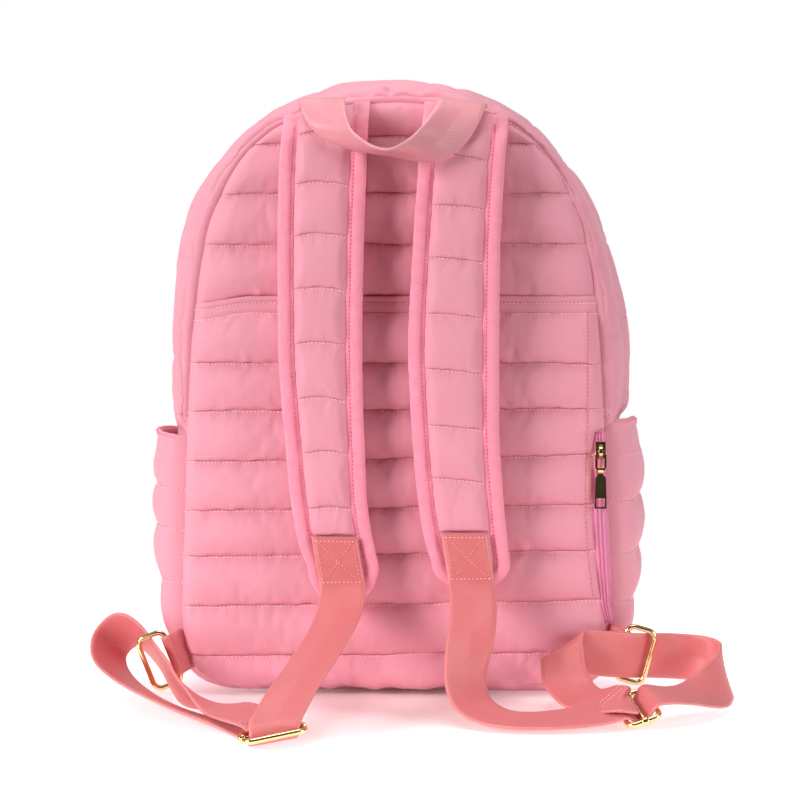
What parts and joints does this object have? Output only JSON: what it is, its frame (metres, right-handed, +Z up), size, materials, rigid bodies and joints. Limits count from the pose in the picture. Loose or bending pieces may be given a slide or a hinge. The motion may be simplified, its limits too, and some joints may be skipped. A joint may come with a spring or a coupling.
{
  "type": "quilted backpack",
  "caption": "Puffy quilted backpack standing upright, with padded shoulder straps, loose webbing tails, a carry handle, side pockets, a back sleeve and a small side zip with a hanging pull.",
  "frame": {"origin": "on the floor, below the middle of the bag, on its flat bottom", "axes": "+Z up, the strap side faces -Y, +X to the right when looking at the strap side"},
  "size_m": [0.4604, 0.3535, 0.4376],
  "materials": {
    "shell": "matte quilted nylon",
    "trim": "matte knitted binding",
    "webbing": "satin twill webbing",
    "zip_tape": "satin zip tape and coil",
    "gold_metal": "polished"
  },
  "bodies": {
    "bag": {"back_panel": "shell", "back_sleeve": "shell", "front_panel": "shell", "gusset_top_back": "shell", "gusset_top_front": "shell", "gusset_lower": "shell", "pocket_left": "shell", "pocket_right": "shell", "shoulder_pad_left": "shell", "shoulder_pad_right": "shell", "pocket_binding_left": "trim", "pocket_binding_right": "trim", "pad_binding_left": "trim", "pad_binding_right": "trim", "main_zip": "zip_tape", "side_zip": "zip_tape", "handle": "webbing", "webbing_left": "webbing", "webbing_right": "webbing", "ring_tab_left": "webbing", "ring_tab_right": "webbing", "ring_left": "gold_metal", "ring_right": "gold_metal", "strap_slider_left": "gold_metal", "strap_slider_right": "gold_metal", "main_zip_slider": "gold_metal", "side_zip_slider": "gold_metal"},
    "zip_pull": {"pull_link": "gold_metal", "pull_tab": "gold_metal"}
  },
  "joints": [
    {"name": "zip_pull_swing", "type": "hinge", "parent": "bag", "child": "zip_pull", "pos_m": [0.1436, -0.07668, 0.173], "axis": [-1, 0, 0], "range_deg": [0, 150]}
  ]
}
